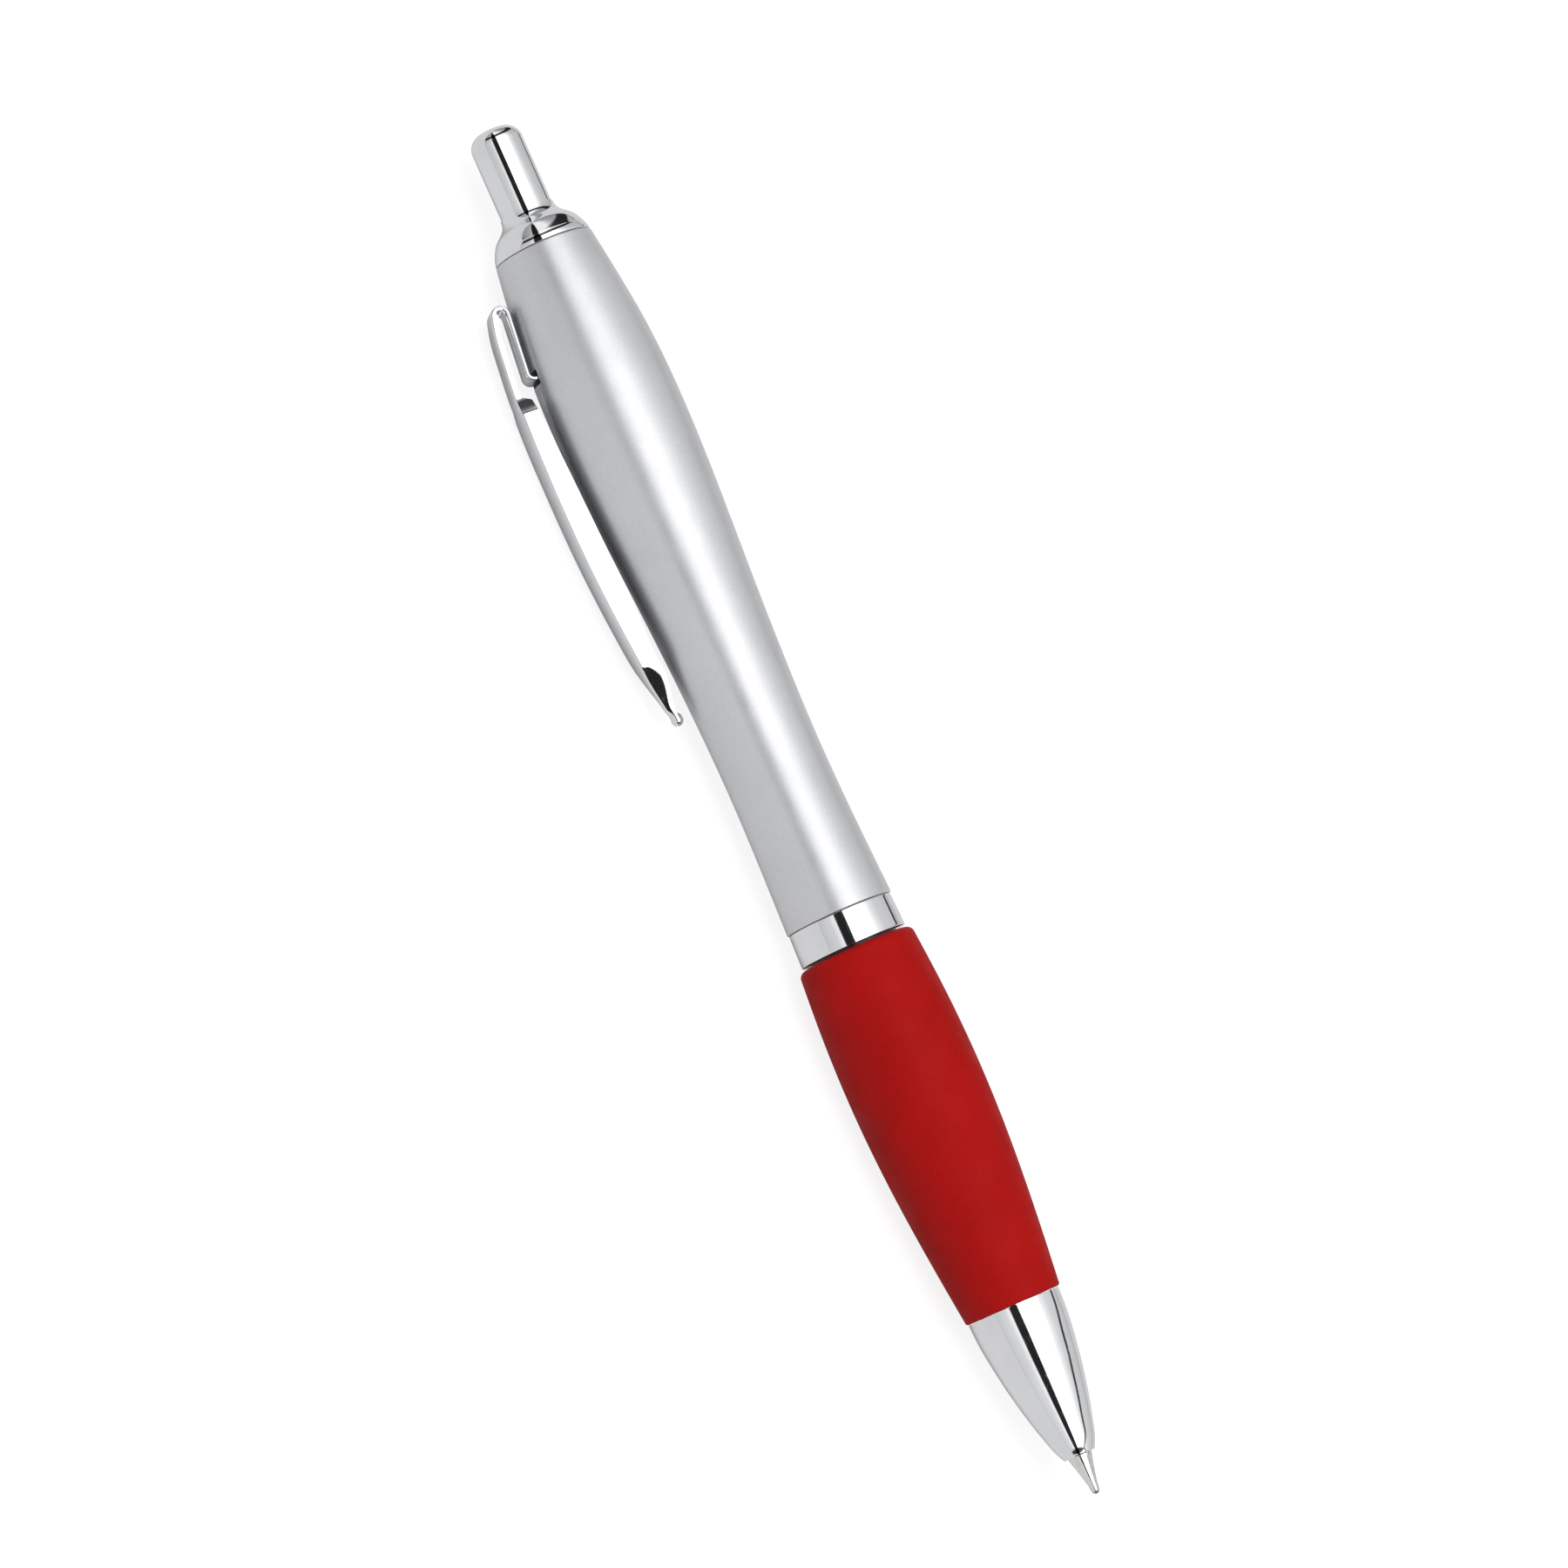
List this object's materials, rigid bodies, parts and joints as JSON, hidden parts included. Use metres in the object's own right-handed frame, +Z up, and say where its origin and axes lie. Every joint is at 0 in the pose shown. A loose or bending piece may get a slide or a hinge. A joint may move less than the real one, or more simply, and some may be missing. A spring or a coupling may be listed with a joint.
{
  "type": "retractable ballpoint pen",
  "caption": "Click-action ballpoint pen with a waisted satin silver barrel, chromed trim, leaf-shaped spring clip and soft red rubber grip, lying with its point out.",
  "frame": {"origin": "on the table under the middle of the pen's box, the pen lying on its grip and on the edge of its clip", "axes": "+X along the pen from the push button to the point, +Z up from the table, the clip on the -Y side"},
  "size_m": [0.14, 0.0154, 0.0127],
  "materials": {
    "chrome_plate": "polished",
    "clip_steel": "polished",
    "satin_silver": "satin",
    "red_rubber": "matte",
    "black_plastic": "satin",
    "white_acetal": "satin",
    "grey_acetal": "satin",
    "spring_steel": "satin",
    "refill_plastic": "gloss",
    "ink": "gloss",
    "grease": "gloss",
    "brass": "satin",
    "nickel_silver": "gloss",
    "ball_steel": "polished"
  },
  "bodies": {
    "casing": {"upper_barrel": "satin_silver", "top_collar": "chrome_plate", "cam_sleeve": "grey_acetal", "clip_tongue": "clip_steel"},
    "clip": {"clip_blade": "clip_steel"},
    "button": {"push_button": "chrome_plate", "plunger": "white_acetal"},
    "refill": {"refill_tube": "refill_plastic", "ink_column": "ink", "ink_follower": "grease", "point_adaptor": "brass", "point_tip": "nickel_silver"},
    "cam": {"rotary_cam": "white_acetal"},
    "ball": {"writing_ball": "ball_steel"},
    "ring": {"middle_ring": "chrome_plate"},
    "front": {"front_tube": "black_plastic", "grip_sleeve": "red_rubber", "nose_cone": "chrome_plate", "return_spring": "spring_steel"}
  },
  "joints": [
    {"name": "button_slide", "type": "slide", "parent": "casing", "child": "button", "axis": [1, 0, 0], "range_m": [-0.0056, 0.0013], "stiffness_N_per_m": 350, "deforming": ["return_spring"]},
    {"name": "refill_slide", "type": "slide", "parent": "casing", "child": "refill", "axis": [1, 0, 0], "range_m": [-0.0057, 0.0014]},
    {"name": "cam_turn", "type": "hinge", "parent": "refill", "child": "cam", "pos_m": [-0.04, 0.00135, 0.00635], "axis": [1, 0, 0], "range_deg": [-46, 11]},
    {"name": "ball_roll", "type": "hinge", "parent": "refill", "child": "ball", "pos_m": [0.06964, 0.00135, 0.00635], "axis": [0, 1, 0], "continuous": true},
    {"name": "clip_flex", "type": "hinge", "parent": "casing", "child": "clip", "pos_m": [-0.05293, -0.00455, 0.00317], "axis": [0, 0.4756, -0.8796], "range_deg": [0, 4], "stiffness_Nm_per_rad": 3},
    {"name": "ring_travel", "type": "slide", "parent": "casing", "child": "ring", "axis": [1, 0, 0], "range_m": [0, 0.0075]},
    {"name": "front_screw", "type": "hinge", "parent": "ring", "child": "front", "pos_m": [0, 0.00135, 0.00635], "axis": [1, 0, 0], "range_deg": [0, 2162]}
  ],
  "couplings": [
    {"joint": "refill_slide", "follows": "button_slide", "ratio": 1},
    {"joint": "cam_turn", "follows": "button_slide", "rad_per_m": 140.25},
    {"joint": "front_screw", "follows": "ring_travel", "rad_per_m": 5026.5}
  ]
}
